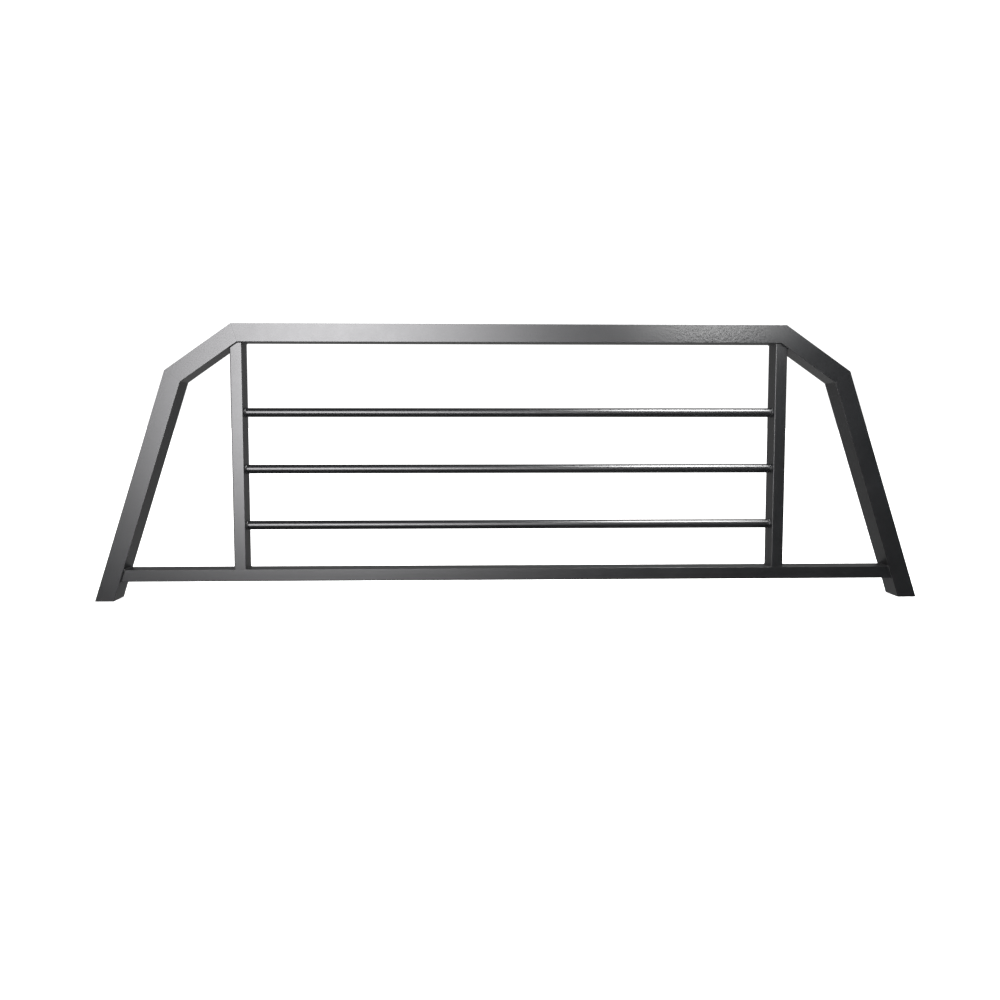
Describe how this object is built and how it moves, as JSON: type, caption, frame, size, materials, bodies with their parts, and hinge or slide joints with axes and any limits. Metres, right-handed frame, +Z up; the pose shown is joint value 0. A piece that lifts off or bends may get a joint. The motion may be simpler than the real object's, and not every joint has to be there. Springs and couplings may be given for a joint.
{
  "type": "ladder rack",
  "caption": "Welded cab guard ladder rack for a pickup: a rectangular tube arch with leaning legs, filled by uprights and round rails, bolted down through its feet.",
  "frame": {"origin": "midway between the two feet, on the plane that they stand on, at mid depth", "axes": "+X across the truck, to the right for a viewer in front of the rack at -Y, +Y from the front face to the back face, +Z up"},
  "size_m": [1.776, 0.0636, 0.588],
  "materials": {
    "powder_coat": "fine textured satin black powder coat over steel tube",
    "weld_under_coat": "steel weld bead under the same satin black powder coat",
    "zinc_plated_steel": "zinc plated steel nut, masked from the powder coat"
  },
  "bodies": {
    "root": {"top_tube": "powder_coat", "shoulder_tube_left": "powder_coat", "shoulder_tube_right": "powder_coat", "leg_left": "powder_coat", "leg_right": "powder_coat", "upright_left": "powder_coat", "upright_right": "powder_coat", "bottom_rail": "powder_coat", "rail_upper": "powder_coat", "rail_middle": "powder_coat", "rail_lower": "powder_coat", "foot_plate_left": "powder_coat", "foot_plate_right": "powder_coat", "foot_nut_left": "zinc_plated_steel", "foot_nut_right": "zinc_plated_steel", "weld_crossbar_mitre_left": "weld_under_coat", "weld_crossbar_mitre_right": "weld_under_coat", "weld_leg_mitre_left": "weld_under_coat", "weld_leg_mitre_right": "weld_under_coat", "weld_upright_top_left": "weld_under_coat", "weld_upright_top_right": "weld_under_coat", "weld_upright_base_left": "weld_under_coat", "weld_upright_base_right": "weld_under_coat", "weld_bottom_rail_left": "weld_under_coat", "weld_bottom_rail_right": "weld_under_coat", "weld_rail_upper_left": "weld_under_coat", "weld_rail_upper_right": "weld_under_coat", "weld_rail_middle_left": "weld_under_coat", "weld_rail_middle_right": "weld_under_coat", "weld_rail_lower_left": "weld_under_coat", "weld_rail_lower_right": "weld_under_coat", "weld_foot_plate_left": "weld_under_coat", "weld_foot_plate_right": "weld_under_coat", "weld_foot_nut_left": "weld_under_coat", "weld_foot_nut_right": "weld_under_coat"}
  },
  "joints": []
}
